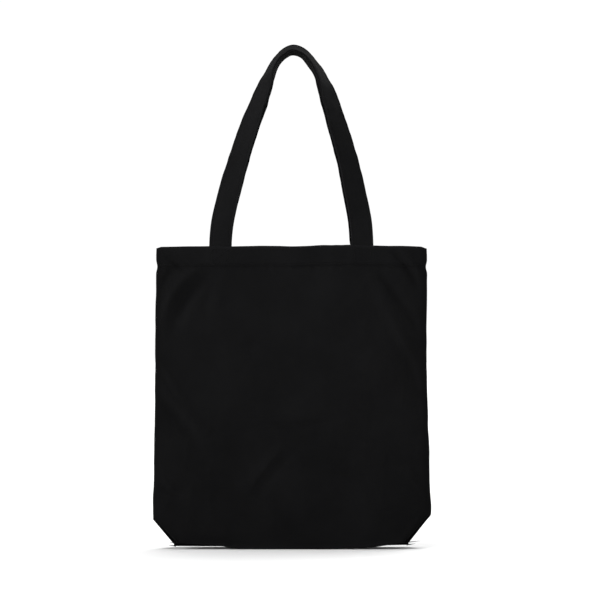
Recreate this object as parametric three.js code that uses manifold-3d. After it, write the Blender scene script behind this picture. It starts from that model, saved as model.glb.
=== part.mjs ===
// A canvas tote bag hanging empty by its two handles, built from its cut and sewn pieces.
//
// Millimetres. +Z is up, -Y is the front, +X is to the right of someone facing the front.
// The origin is the point where a hook carries the bag: under the two handle straps, at the top
// of their loops. The front and back halves mirror each other through the plane y = 0, so most
// pieces are made by one function that is called with side = -1 (front) or side = 1 (back).
// The left and right halves mirror each other too: end = -1 is the left and end = 1 the right.
//
// The bag has a boxed bottom. While it hangs empty, its base is folded up inside it along the
// bottom seam, and each bottom corner is folded in along a 45 degree line.
import * as THREE from "three";
import { mergeVertices } from "three/addons/utils/BufferGeometryUtils.js";
import Module from "manifold-3d";

// Driving dimensions.
const WIDTH = 380; // across the flat bag
const HEIGHT = 420; // from the rim to the bottom fold
const GUSSET = 76; // depth of the boxed bottom when it is open
const CLOTH = 0.8; // one layer of canvas
const GAP = 0.3; // air between two pieces that touch
const RIM_DEPTH = 9; // half the bag's thickness at the hem
const BASE_DEPTH = 16; // half the bag's thickness at the bottom fold
const FLAT_HALF = 120; // half the width over which each wall is flat
const HEM_HEIGHT = 25; // from the rim to the hem's stitch line
const HEM_TURN = 28; // depth of the cloth turned in at the rim
const FACING = 1.2; // the turned cloth, doubled, pressed flat
const STRAP_WIDTH = 30;
const STRAP_THICK = 2.4; // four layers of canvas
const TAIL_LENGTH = 26; // how much of the strap is sewn in under the hem
const STRAP_SPACING = 200; // between the middles of a handle's two legs
const HANDLE_RISE = 276; // from the rim to the middle of the strap at the top of the loop
const APEX_TWIST = THREE.MathUtils.degToRad(60); // how far the strap has turned at the top
const SEAM_ALLOWANCE = 11; // width of the cloth left inside a seam
const OVERLOCK = 1.2; // width of the thread edging on that cloth
const THREAD = 0.5;
const RIM_FOLD = 0.5; // how far the turned cloth stays below the rim
const EDGE_STITCH = STRAP_WIDTH / 2 - 3; // from a strap's middle to each row along its edges

const TWIST_DELAY = 1.3; // above 1, the strap stays flat for longer as it leaves the rim

// Derived places.
const CORNER = GUSSET / 2; // the leg of each folded corner
const HALF = WIDTH / 2;
const BASE_HALF = HALF - CORNER;
const STRAP_X = STRAP_SPACING / 2;
const RIM_Z = -(HANDLE_RISE + (STRAP_WIDTH / 2) * Math.cos(APEX_TWIST) - STRAP_THICK / 2);
const BASE_Z = RIM_Z - HEIGHT;
const STRAP_Y = RIM_DEPTH - CLOTH - GAP - STRAP_THICK / 2; // the strap's middle inside the hem
const HEM_BAND = 30; // the wall is upright over this height below the rim
const SEAM_HALF = 0.4; // half the air between the two walls along a side seam
const BASE_TOP = 35; // height of the bottom seam above the bottom fold
const FLAT_SHARE = 0.4; // the share of a wall's columns that its flat middle gets
const CORNER_SHARE = 0.25; // the share of a wall's rows that its folded corners get
const WALL_COLUMNS = 20;
const WALL_ROWS = 16;
const HEM_COLUMNS = 18; // the same columns as the wall, without the last one at each side
const HEM_REACH = HEM_COLUMNS / WALL_COLUMNS;
const STRAP_STEPS = 64;

const canvas = { color: 0x17171a, roughness: 0.95, metalness: 0 };
const thread = { color: 0x1d1d20, roughness: 0.7, metalness: 0 };

const NUDGE = 1e-3; // a small step along a surface, to find which way it faces
const { lerp, clamp } = THREE.MathUtils;
const bag = new THREE.Group();
const wasm = await Module();
wasm.setup();

function addPiece(name, geometry, finish = canvas) {
  const mesh = new THREE.Mesh(geometry, new THREE.MeshStandardMaterial(finish));
  mesh.name = name;
  bag.add(mesh);
  return mesh;
}

// A geometry as a solid that can be joined to another, and back.
function toSolid(geometry) {
  const bare = new THREE.BufferGeometry();
  const flat = geometry.index ? geometry.toNonIndexed() : geometry;
  bare.setAttribute("position", flat.getAttribute("position"));
  const merged = mergeVertices(bare, 1e-3);
  return new wasm.Manifold(
    new wasm.Mesh({
      numProp: 3,
      vertProperties: merged.attributes.position.array,
      triVerts: new Uint32Array(merged.index.array),
    }),
  );
}

function fromSolid(solid) {
  const mesh = solid.getMesh();
  const geometry = new THREE.BufferGeometry();
  geometry.setAttribute("position", new THREE.BufferAttribute(mesh.vertProperties, 3));
  geometry.setIndex(new THREE.BufferAttribute(mesh.triVerts, 1));
  geometry.computeVertexNormals();
  return geometry;
}

function joined(geometries) {
  return fromSolid(geometries.map(toSolid).reduce((whole, one) => whole.add(one)));
}

// A closed solid from rings of points: ring i joins ring i + 1, and the two end rings are capped.
// Every ring runs the same way round, so that the faces all point out.
function loft(rings, capTriangles) {
  const size = rings[0].length;
  const last = (rings.length - 1) * size;
  const index = [];
  for (let i = 0; i < rings.length - 1; i++) {
    for (let j = 0; j < size; j++) {
      const a = i * size + j;
      const b = i * size + ((j + 1) % size);
      index.push(a, b, b + size, a, b + size, a + size);
    }
  }
  for (const [a, b, c] of capTriangles) {
    index.push(a, c, b, last + a, last + b, last + c);
  }
  const geometry = new THREE.BufferGeometry().setFromPoints(rings.flat());
  geometry.setIndex(index);
  return facingOut(geometry);
}

function facingOut(geometry) {
  const at = geometry.attributes.position;
  const index = geometry.index.array;
  const [a, b, c] = [new THREE.Vector3(), new THREE.Vector3(), new THREE.Vector3()];
  let volume = 0;
  for (let i = 0; i < index.length; i += 3) {
    a.fromBufferAttribute(at, index[i]);
    b.fromBufferAttribute(at, index[i + 1]);
    c.fromBufferAttribute(at, index[i + 2]);
    volume += a.dot(b.cross(c));
  }
  if (volume < 0) {
    for (let i = 0; i < index.length; i += 3) {
      [index[i + 1], index[i + 2]] = [index[i + 2], index[i + 1]];
    }
  }
  geometry.computeVertexNormals();
  return geometry;
}

// A sheet of cloth of even thickness. surface(u, v) gives a point of its outer face, with u
// across and v down, both from 0 to 1. The cloth lies on the side that toInside points to.
function clothSheet(surface, columns, rows, thickness, toInside) {
  const inward = (u, v) => {
    const across = surface(Math.min(u + NUDGE, 1), v).sub(surface(Math.max(u - NUDGE, 0), v));
    const down = surface(u, Math.min(v + NUDGE, 1)).sub(surface(u, Math.max(v - NUDGE, 0)));
    const normal = across.cross(down).normalize();
    return normal.dot(toInside(u, v)) < 0 ? normal.negate() : normal;
  };
  const rings = [];
  for (let i = 0; i <= rows; i++) {
    const outer = [];
    const inner = [];
    for (let j = 0; j <= columns; j++) {
      const point = surface(j / columns, i / rows);
      outer.push(point);
      inner.unshift(point.clone().addScaledVector(inward(j / columns, i / rows), thickness));
    }
    rings.push([...outer, ...inner]);
  }
  const caps = [];
  const size = 2 * (columns + 1);
  for (let j = 0; j < columns; j++) {
    caps.push([j, j + 1, size - 2 - j], [j, size - 2 - j, size - 1 - j]);
  }
  return loft(rings, caps);
}

// A strip along frames, each { at, across, out } with unit directions. Its section is a
// rectangle, with its corners cut by edge.
function strip(frames, width, thickness, edge = 0) {
  const [w, t] = [width / 2, thickness / 2];
  const square = [[-w, -t], [w, -t], [w, t], [-w, t]];
  const eased = square.flatMap(([x, y]) => [
    [x - Math.sign(x) * edge, y],
    [x, y - Math.sign(y) * edge],
  ]);
  const corners = edge > 0 ? orderedRound(eased) : square;
  const rings = frames.map(({ at, across, out }) =>
    corners.map(([x, y]) => at.clone().addScaledVector(across, x).addScaledVector(out, y)),
  );
  const caps = [];
  for (let i = 1; i < corners.length - 1; i++) {
    caps.push([0, i, i + 1]);
  }
  return loft(rings, caps);
}

// Points of a convex outline in order round its middle.
function orderedRound(points) {
  return points.toSorted((a, b) => Math.atan2(a[1], a[0]) - Math.atan2(b[1], b[0]));
}

function boxBetween(low, high) {
  const size = new THREE.Vector3().subVectors(high, low);
  const middle = new THREE.Vector3().addVectors(low, high).multiplyScalar(0.5);
  return new THREE.BoxGeometry(size.x, size.y, size.z).translate(middle.x, middle.y, middle.z);
}

// Walls ---------------------------------------------------------------------------------------

// Half the bag's width at a height above the bottom fold.
function halfWidth(h) {
  return HALF - Math.max(0, CORNER - h);
}

// How far a wall's outer face stands from y = 0, in its flat middle and at its side edge.
function middleDepth(h) {
  const slope = clamp(h / (HEIGHT - HEM_BAND), 0, 1);
  return lerp(BASE_DEPTH, RIM_DEPTH, slope);
}

function edgeDepth(h) {
  return SEAM_HALF + (BASE_DEPTH - SEAM_HALF) * clamp(1 - h / CORNER, 0, 1);
}

// A point of a wall's outer face: u runs from -1 to 1 across it. The middle is flat, and each
// end is a quarter of an ellipse that runs into the side seam.
function wallPoint(side, u, h) {
  const q = clamp((Math.abs(u) - FLAT_SHARE) / (1 - FLAT_SHARE), 0, 1) * (Math.PI / 2);
  const x = q > 0
    ? FLAT_HALF + (halfWidth(h) - FLAT_HALF) * Math.sin(q)
    : (Math.abs(u) / FLAT_SHARE) * FLAT_HALF;
  const y = edgeDepth(h) + (middleDepth(h) - edgeDepth(h)) * Math.cos(q);
  return new THREE.Vector3(Math.sign(u) * x, side * y, BASE_Z + h);
}

function wallPanel(side) {
  const heightAt = (v) =>
    v < 1 - CORNER_SHARE
      ? lerp(HEIGHT, CORNER, v / (1 - CORNER_SHARE))
      : CORNER * ((1 - v) / CORNER_SHARE);
  const surface = (u, v) => wallPoint(side, 2 * u - 1, heightAt(v));
  return clothSheet(surface, WALL_COLUMNS, WALL_ROWS, CLOTH, towardsInside(side));
}

// The way from a wall's outer face into the bag, as clothSheet asks for it.
function towardsInside(side) {
  return (u) => new THREE.Vector3(1 - 2 * u, -side, 0);
}

// A point at a depth under a wall's outer face, measured square to it in plan. A negative depth
// is outside the wall.
function wallLayer(side, u, h, depth) {
  const ahead = wallPoint(side, u + NUDGE, h).sub(wallPoint(side, u - NUDGE, h));
  const inward = new THREE.Vector3(ahead.y, -ahead.x, 0).normalize();
  inward.multiplyScalar(-Math.sign(inward.y * side));
  return wallPoint(side, u, h).addScaledVector(inward, depth);
}

// The cloth turned in at the rim. It stands off the wall by the strap ends it covers, and comes
// close to the wall towards the side seams, where it stops.
function facingSheet(side) {
  const middle = CLOTH + GAP + STRAP_THICK + GAP;
  const end = CLOTH + 2 * GAP;
  const top = HEIGHT - RIM_FOLD;
  const surface = (u, v) => {
    const across = (2 * u - 1) * HEM_REACH;
    const towardsEnd = clamp((Math.abs(across) - FLAT_SHARE) / (HEM_REACH - FLAT_SHARE), 0, 1);
    return wallLayer(side, across, top - v * HEM_TURN, lerp(middle, end, towardsEnd));
  };
  return clothSheet(surface, HEM_COLUMNS, 1, FACING, towardsInside(side));
}

// A strap's end, sewn between the wall and its facing.
function strapTail(side, x) {
  const [w, t, y] = [STRAP_WIDTH / 2, STRAP_THICK / 2, side * STRAP_Y];
  return boxBetween(
    new THREE.Vector3(x - w, y - t, RIM_Z - TAIL_LENGTH),
    new THREE.Vector3(x + w, y + t, RIM_Z),
  );
}

// One row of thread across the outside of a wall.
function hemThread(side) {
  const frames = [];
  for (let i = 0; i <= HEM_COLUMNS; i++) {
    const u = HEM_REACH * ((2 * i) / HEM_COLUMNS - 1);
    const low = wallLayer(side, u, HEIGHT - HEM_HEIGHT, -GAP);
    const at = wallLayer(side, u, HEIGHT - HEM_HEIGHT, -GAP - THREAD / 2);
    frames.push({ at, across: new THREE.Vector3(0, 0, 1), out: at.clone().sub(low).normalize() });
  }
  return strip(frames, THREAD, THREAD);
}

// The thread that fixes a strap's end: a box with a cross in it.
function boxStitch(side, x) {
  const w = 2 * EDGE_STITCH - 2;
  const h = HEM_HEIGHT - 7;
  const y = side * (RIM_DEPTH + GAP + THREAD / 2);
  const middle = RIM_Z - 3 - h / 2;
  const bar = (length, angle, dx, dz) =>
    new THREE.BoxGeometry(length, THREAD, THREAD).rotateY(angle).translate(x + dx, y, middle + dz);
  const slant = Math.atan2(h, w);
  const diagonal = Math.hypot(w, h);
  return joined([
    bar(w + THREAD, 0, 0, h / 2),
    bar(w + THREAD, 0, 0, -h / 2),
    bar(h + THREAD, Math.PI / 2, -w / 2, 0),
    bar(h + THREAD, Math.PI / 2, w / 2, 0),
    bar(diagonal, slant, 0, 0),
    bar(diagonal, -slant, 0, 0),
  ]);
}

// Base and side folds -------------------------------------------------------------------------

// Half of the base, leaning from the bottom fold up to the bottom seam.
const FOLD_FOOT = BASE_DEPTH - CLOTH - 2 * GAP;
const FOLD_HEAD = 2 * CLOTH;
const FOLD_SLOPE = (BASE_TOP - GAP) / (FOLD_FOOT - FOLD_HEAD);
function baseFold(side) {
  const surface = (u, v) =>
    new THREE.Vector3(
      (2 * u - 1) * (BASE_HALF - 2),
      side * lerp(FOLD_FOOT, FOLD_HEAD, v),
      BASE_Z + GAP + v * (BASE_TOP - GAP),
    );
  return clothSheet(surface, 4, 3, CLOTH, () => new THREE.Vector3(0, -side, 0));
}

// The two folded triangles that close a bottom corner. They are sewn to each other along the
// line from the side seam's foot to the bottom seam, where each runs a little past y = 0.
const LAP = 0.3;
function cornerFold(end) {
  const [outer, inner] = [end * (HALF - 4), end * (BASE_HALF + 0.5)];
  const thickness = 1.3;
  const triangle = (side) => {
    const tip = new THREE.Vector3(outer, -side * LAP, BASE_Z + CORNER - 2);
    const foot = new THREE.Vector3(inner, side * (BASE_DEPTH - 3), BASE_Z + 2);
    const seam = new THREE.Vector3(inner, -side * LAP, BASE_Z + BASE_TOP - 1);
    const normal = foot.clone().sub(tip).cross(seam.clone().sub(tip)).normalize();
    normal.multiplyScalar(Math.sign(normal.y * side) * thickness);
    const near = [tip, foot, seam];
    const far = near.map((point) => point.clone().add(normal));
    return loft([near, far], [[0, 1, 2]]);
  };
  return joined([triangle(-1), triangle(1)]);
}

// The seam allowance inside a side seam, pointing into the bag, and the overlock thread on it.
const FIN_X = HALF - CLOTH - 1.6;
const FIN_TOP = RIM_Z - HEM_TURN - 2;
const FIN_FOOT = BASE_Z + CORNER + 4;
function uprightStrip(end, outer, width, thickness) {
  const [a, b] = [end * (outer - width), end * outer];
  return boxBetween(
    new THREE.Vector3(Math.min(a, b), -thickness / 2, FIN_FOOT),
    new THREE.Vector3(Math.max(a, b), thickness / 2, FIN_TOP),
  );
}

function sideSeam(end) {
  return uprightStrip(end, FIN_X, SEAM_ALLOWANCE, 1.4);
}

function sideOverlock(end) {
  return uprightStrip(end, FIN_X - SEAM_ALLOWANCE - GAP, OVERLOCK, 2);
}

// The bottom seam's allowance, standing up inside the bag, and the overlock thread on it.
const KEEL_FOOT = BASE_Z + BASE_TOP + GAP;
const KEEL_HEIGHT = SEAM_ALLOWANCE - 1;
function lyingStrip(foot, height, thickness) {
  const reach = BASE_HALF - 5;
  return boxBetween(
    new THREE.Vector3(-reach, -thickness / 2, foot),
    new THREE.Vector3(reach, thickness / 2, foot + height),
  );
}

function bottomSeam() {
  return lyingStrip(KEEL_FOOT, KEEL_HEIGHT, 1.6);
}

function bottomOverlock() {
  return lyingStrip(KEEL_FOOT + KEEL_HEIGHT + GAP, OVERLOCK, 2);
}

// The allowance of the short seam across a bottom corner: an upright band over the base's end.
function cornerSeam(end) {
  const foot = BASE_DEPTH - CLOTH - 2.4;
  const drop = foot * FOLD_SLOPE;
  const low = BASE_TOP + 5;
  const high = low + 7;
  const width = 1.6;
  const shape = new THREE.Shape();
  shape.moveTo(-foot, low - drop);
  shape.lineTo(0, low);
  shape.lineTo(foot, low - drop);
  shape.lineTo(foot, high - drop);
  shape.lineTo(0, high);
  shape.lineTo(-foot, high - drop);
  shape.closePath();
  const band = new THREE.ExtrudeGeometry(shape, { depth: width, bevelEnabled: false });
  band.rotateX(Math.PI / 2).rotateZ(Math.PI / 2); // the outline's x lies along +Y, its y along +Z
  return band.translate(end * (BASE_HALF - 4 + width / 2) - width / 2, 0, BASE_Z);
}

// Handles -------------------------------------------------------------------------------------

// The middle line of a strap, seen from the front: from the left leg over the top to the right.
const LEG = [
  [STRAP_X, 0],
  [STRAP_X, 8],
  [96.8, 36],
  [87.4, 80],
  [76, 125],
  [61.6, 170],
  [46, 215],
  [37.8, 237],
  [28, 256],
  [15, 270],
];
const loopLine = new THREE.CatmullRomCurve3(
  [
    ...LEG.map(([x, z]) => new THREE.Vector3(-x, 0, z)),
    new THREE.Vector3(0, 0, HANDLE_RISE),
    ...LEG.toReversed().map(([x, z]) => new THREE.Vector3(x, 0, z)),
  ],
  false,
  "centripetal",
);

// The strap's place and directions at t, from 0 to 1 along the loop. The strap faces forward at
// its two ends. Towards the top it twists so that it faces up, as a strap on a hook does, and
// its inner edge swings away from the other handle.
function strapFrame(side, t) {
  const rise = 1 - Math.abs(2 * t - 1);
  const turn = APEX_TWIST * Math.pow(Math.sin((rise * Math.PI) / 2), TWIST_DELAY);
  const at = loopLine.getPointAt(t);
  const ahead = loopLine.getTangentAt(t);
  const inward = new THREE.Vector3(ahead.z, 0, -ahead.x).normalize().multiplyScalar(Math.cos(turn));
  const across = inward.add(new THREE.Vector3(0, side * Math.sin(turn), 0));
  const out = new THREE.Vector3().crossVectors(ahead, across).normalize();
  at.y = side * Math.max(STRAP_Y, (STRAP_WIDTH / 2) * Math.sin(turn) + STRAP_THICK * 0.75);
  at.z += RIM_Z + GAP;
  return { at, across: across.normalize(), out: out.multiplyScalar(Math.sign(out.y * side) || 1) };
}

function handleStrap(side) {
  const frames = [];
  for (let i = 0; i <= STRAP_STEPS; i++) {
    frames.push(strapFrame(side, i / STRAP_STEPS));
  }
  return strip(frames, STRAP_WIDTH, STRAP_THICK, 0.7);
}

// A row of edge stitching on the outer face of a strap; offset runs from the strap's middle.
function handleThread(side, offset) {
  const frames = [];
  for (let i = 0; i <= STRAP_STEPS; i++) {
    const { at, across, out } = strapFrame(side, i / STRAP_STEPS);
    at.addScaledVector(across, offset).addScaledVector(out, STRAP_THICK / 2 + GAP + THREAD / 2);
    frames.push({ at, across, out });
  }
  return strip(frames, THREAD, THREAD);
}

// Assembly ------------------------------------------------------------------------------------

for (const [name, side] of [["front", -1], ["back", 1]]) {
  addPiece(`${name}_panel`, wallPanel(side));
  addPiece(`${name}_hem_facing`, facingSheet(side));
  addPiece(`${name}_hem_thread`, hemThread(side), thread);
  addPiece(`${name}_base_fold`, baseFold(side));
  addPiece(`${name}_handle`, handleStrap(side));
  addPiece(`${name}_handle_outer_thread`, handleThread(side, -EDGE_STITCH), thread);
  addPiece(`${name}_handle_inner_thread`, handleThread(side, EDGE_STITCH), thread);
  for (const [end, x] of [["left", -STRAP_X], ["right", STRAP_X]]) {
    addPiece(`${name}_handle_${end}_tail`, strapTail(side, x));
    addPiece(`${name}_${end}_box_stitch`, boxStitch(side, x), thread);
  }
}
for (const [name, end] of [["left", -1], ["right", 1]]) {
  addPiece(`${name}_side_seam`, sideSeam(end));
  addPiece(`${name}_side_overlock`, sideOverlock(end), thread);
  addPiece(`${name}_corner_fold`, cornerFold(end));
  addPiece(`${name}_corner_seam`, cornerSeam(end));
}
addPiece("bottom_seam", bottomSeam());
addPiece("bottom_overlock", bottomOverlock(), thread);

export default bag;
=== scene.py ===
"""Looks of a black canvas tote bag that hangs by its two handles, built around its CAD frame."""

import math

import bmesh
import bpy
import numpy as np
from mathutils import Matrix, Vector


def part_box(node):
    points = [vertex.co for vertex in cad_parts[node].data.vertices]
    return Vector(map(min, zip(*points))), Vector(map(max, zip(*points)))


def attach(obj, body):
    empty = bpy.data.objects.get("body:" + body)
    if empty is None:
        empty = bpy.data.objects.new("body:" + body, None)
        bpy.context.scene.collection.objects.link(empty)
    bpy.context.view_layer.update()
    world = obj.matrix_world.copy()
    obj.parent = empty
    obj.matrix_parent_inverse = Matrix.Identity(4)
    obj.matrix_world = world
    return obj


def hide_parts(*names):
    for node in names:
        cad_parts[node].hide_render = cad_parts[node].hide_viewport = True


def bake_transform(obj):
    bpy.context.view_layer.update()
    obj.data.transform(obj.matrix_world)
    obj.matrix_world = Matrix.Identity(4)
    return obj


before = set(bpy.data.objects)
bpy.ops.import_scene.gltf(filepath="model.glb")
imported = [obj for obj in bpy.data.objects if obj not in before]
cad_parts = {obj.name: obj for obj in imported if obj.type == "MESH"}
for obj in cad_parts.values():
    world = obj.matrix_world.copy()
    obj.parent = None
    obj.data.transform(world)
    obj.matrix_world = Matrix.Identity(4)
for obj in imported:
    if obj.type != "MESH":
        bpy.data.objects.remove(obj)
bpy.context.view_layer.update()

# Sizes in millimetres, in the frame of the CAD model: +Z up, -Y the front, the origin where the
# bag hangs. The script works in millimetres and scales each mesh to metres when it is made.
MM = 0.001
panel_low, panel_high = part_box("front_panel")
RIM_Z = round(panel_high[2] / MM, 3)
HEIGHT = 420.0
HALF_WIDTH = 190.0
BASE_Z = RIM_Z - HEIGHT
RIM_DEPTH = 9.0  # half the thickness of the bag at the hem
BASE_DEPTH = round(-panel_low[1] / MM, 3)  # half the thickness of the bag at the bottom fold
FLAT_HALF = 118.0  # half the width over which a wall hangs flat
CLOTH = 0.8
CORNER = 38.0  # height of the folded bottom corners
FOLD_TOP = 35.0  # height of the bottom seam above the bottom fold
# Where a bottom corner is folded in, at the left (-1) and at the right (1).
CORNER_FOOT = {-1: 160.5, 1: 164.0}  # half the width that is left at the bottom fold
CORNER_TOP = {-1: 39.0, 1: 42.0}  # the height where the corner's fold meets the side seam
SEAM_GAP = 0.02  # from the turned-in edge of a wall to the plane where the two walls meet
EDGE_DEPTH = 1.6  # half the thickness of the bag along its side seams
SEAM_REACH = 188.0  # half the width beyond which a wall's weight is 0
HEM_LINE = 395.0  # height of the hem's stitch line
HEM_EDGE = 392.0  # height of the lower edge of the turned cloth
STRAP_WIDTH = 31.0
STRAP_THICK = 2.4
STRAP_X = 99.5
TAIL = 26.0  # how much of each strap is sewn in under the hem
EDGE_ROW = 12.0  # from the strap's middle to each row of stitches
STITCH = 3.2  # from one stitch to the next
THREAD = 0.32  # radius of the thread

FOLD_GAIN = 1.5  # how much stronger the folds are than the rises in their lists say
COLUMNS = 160  # faces across a wall
WALL_ROWS = 190  # faces up a wall


def side_name(side):
    return "front" if side < 0 else "back"


# Numbers that vary smoothly -------------------------------------------------------------------


def smooth(t):
    """Rises from 0 to 1 as t does, level at both ends."""
    t = np.clip(t, 0.0, 1.0)
    return t * t * (3 - 2 * t)


def eased(x, keys, values):
    """Passes through values at keys, level at each of them."""
    x = np.asarray(x, float)
    keys, values = np.asarray(keys, float), np.asarray(values, float)
    i = np.clip(np.searchsorted(keys, x) - 1, 0, len(keys) - 2)
    t = smooth((x - keys[i]) / (keys[i + 1] - keys[i]))
    return values[i] * (1 - t) + values[i + 1] * t


def ripple(x, y, seed):
    """Smooth random heights from -1 to 1, about one hill for every two units."""
    table = np.random.default_rng(seed).uniform(-1, 1, (64, 64))
    xi, yi = np.floor(x).astype(int), np.floor(y).astype(int)
    fx, fy = smooth(x - xi), smooth(y - yi)
    near = table[xi % 64, yi % 64] * (1 - fx) + table[(xi + 1) % 64, yi % 64] * fx
    far = table[xi % 64, (yi + 1) % 64] * (1 - fx) + table[(xi + 1) % 64, (yi + 1) % 64] * fx
    return near * (1 - fy) + far * fy


def fold(x, h, start, bow, end, width, rise):
    """Height of one fold that runs along a bow from start to end and dies out at both."""
    t = np.linspace(0, 1, 40)[:, None]
    p0, p1, p2 = (np.array(p, float) for p in (start, bow, end))
    line = (1 - t) ** 2 * p0 + 2 * t * (1 - t) * p1 + t**2 * p2
    gap = np.hypot(x[..., None] - line[:, 0], h[..., None] - line[:, 1])
    nearest = gap.argmin(axis=-1)
    across = gap.min(axis=-1) / (0.86 * width)
    along = np.sin(np.pi * (0.04 + 0.92 * t[nearest, 0])) ** 0.8
    return rise * along * np.exp(-(across**2))


# Each fold: start, bow and end as (x, height above the bottom), width, rise.
FRONT_FOLDS = [
    # the drape from the left handle to the side seam, with a hollow on each side of it
    ((-122, 392), (-168, 372), (-186, 306), 9, 3.0),
    ((-110, 384), (-150, 352), (-168, 296), 10, -3.0),
    ((-150, 396), (-184, 378), (-190, 340), 7, -1.8),
    ((-106, 374), (-118, 350), (-122, 322), 8, -0.9),
    ((-96, 380), (-100, 350), (-104, 318), 9, 0.6),
    # the hem's left end
    ((-163, 414), (-150, 408), (-134, 396), 5, 1.6),
    ((-178, 408), (-160, 398), (-148, 386), 5, -1.7),
    # the drape from the right handle
    ((140, 418), (160, 398), (184, 356), 8, -2.6),
    ((152, 414), (172, 396), (188, 372), 6, 2.0),
    ((118, 388), (150, 352), (182, 300), 8, -2.8),
    ((108, 384), (132, 344), (160, 286), 11, 2.0),
    ((82, 404), (92, 398), (102, 392), 5, -0.9),
    # the loose middle
    ((-64, 176), (-10, 168), (52, 177), 8, -1.2),
    ((-60, 181), (-10, 173), (48, 182), 3.4, 0.8),
    ((-14, 138), (-42, 108), (-62, 74), 3.6, 0.7),
    ((-184, 258), (-168, 236), (-150, 214), 5, 0.9),
    ((-188, 250), (-172, 224), (-152, 200), 4, -0.8),
    ((-186, 100), (-176, 88), (-160, 82), 4, 0.9),
    ((176, 200), (184, 170), (190, 150), 5, -1.0),
    ((-58, 186), (-8, 180), (44, 186), 10, 0.9),
    ((-2, 150), (-40, 120), (-70, 74), 9, 1.1),
    ((10, 140), (-22, 112), (-52, 66), 8, -0.9),
    ((-78, 284), (-62, 278), (-46, 282), 7, -0.9),
    ((-186, 232), (-156, 204), (-112, 158), 12, 1.9),
    ((-190, 212), (-160, 188), (-124, 140), 10, -1.9),
    ((128, 336), (168, 286), (190, 214), 11, 2.2),
    ((140, 300), (172, 262), (190, 196), 10, -1.8),
    ((-190, 86), (-172, 74), (-150, 68), 8, -1.8),
    ((150, 108), (172, 98), (190, 74), 9, 1.6),
    ((60, 96), (98, 78), (126, 40), 12, 1.3),
]
BACK_FOLDS = [
    ((-118, 390), (-150, 360), (-184, 300), 10, 2.8),
    ((-128, 396), (-170, 380), (-188, 340), 8, -2.2),
    ((-104, 380), (-124, 340), (-150, 296), 10, -2.4),
    ((120, 392), (168, 370), (188, 318), 10, 2.7),
    ((108, 384), (148, 350), (170, 300), 9, -2.6),
    ((96, 382), (100, 344), (96, 306), 9, -1.2),
    ((-150, 412), (-136, 404), (-122, 394), 5, 1.1),
    ((158, 410), (146, 402), (136, 390), 5, -1.0),
    ((-40, 210), (20, 196), (88, 208), 11, 1.3),
    ((-46, 196), (16, 182), (80, 192), 9, -1.3),
    ((40, 140), (84, 104), (104, 60), 10, 1.7),
    ((-180, 220), (-140, 190), (-96, 170), 12, 1.8),
    ((188, 240), (160, 190), (118, 160), 12, -1.8),
    ((-60, 300), (-40, 288), (-16, 292), 8, 0.9),
    ((-186, 96), (-166, 76), (-140, 66), 9, 1.7),
    ((-30, 90), (-70, 74), (-104, 36), 11, -1.3),
]


def edge_reach(h, end):
    """How far a wall reaches to the left (end -1) or the right (end 1)."""
    if end < 0:
        reach = eased(h, [0, 50, 110, 210, 300, 384, 394, 404, 420],
                      [193.8, 193.6, 192, 190.4, 190.2, 188.8, 187.0, 188.4, 188.4])
    else:
        reach = eased(h, [0, 50, 95, 125, 175, 230, 300, 384, 394, 404, 420],
                      [195, 195.6, 193.6, 193.2, 191.2, 189.8, 189.2, 190, 188, 189.6, 189.4])
    foot = CORNER_FOOT[end]
    wobble = 0.5 * ripple(h / 17.0, h * 0 + 3.5, 11 + end)
    corner = np.clip(h / CORNER_TOP[end], 0, 1)
    return foot + (reach + wobble - foot) * corner


def seam_sway(h):
    """How far the side seams sway out of the plane y = 0."""
    above_base = smooth(h / 60)
    slow = 3.2 * ripple(h / 95.0, h * 0 + 1.5, 5)
    quick = 1.0 * ripple(h / 31.0, h * 0, 6)
    return slow * above_base + quick * above_base


def wrinkles(side, x, h):
    """How far a wall stands out from its plain shape."""
    folds = FRONT_FOLDS if side < 0 else BACK_FOLDS
    seed = 20 if side < 0 else 40
    out = 0.0 * x
    for one in folds:
        out = out + FOLD_GAIN * fold(x, h, *one)
    crease = 0.5 - np.abs(ripple(x / 27 + 1.7, h / 36 + 5.1, seed + 5)) ** 0.8
    fine = 0.5 - np.abs(ripple(x / 12 + 8.7, h / 15 + 2.1, seed + 6))
    toward_sides = 0.45 + 0.55 * smooth((np.abs(x) - 60) / 110)
    out = out + toward_sides * (0.85 * crease + 0.26 * fine)
    out = out + 2.2 * ripple(x / 88 + 9.3, h / 120 + 4.1, seed)
    out = out + 0.8 * ripple(x / 37 + 5.7, h / 52 + 2.2, seed + 1)
    out = out + 0.22 * ripple(x / 13 + 3.1, h / 17 + 7.9, seed + 2)
    near_hem = np.exp(-(((h - HEM_LINE + 2) / 9) ** 2))
    out = out + 0.34 * near_hem * ripple(x / 6.5, h / 15, seed + 3)
    return out


def tail_bump(x, h):
    """1 over the strap ends that are sewn in under the hem, and 0 away from them."""
    away = np.abs(np.abs(x) - STRAP_X) - STRAP_WIDTH / 2
    return smooth(1 - away / 5) * smooth((h - (HEIGHT - TAIL) + 5) / 5)


def sewn_zone(x, h):
    """1 where a strap end stiffens the hem, and 0 away from it."""
    away = np.abs(np.abs(x) - STRAP_X) - STRAP_WIDTH / 2
    return smooth(1 - away / 14) * smooth((h - 375) / 18)


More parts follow.
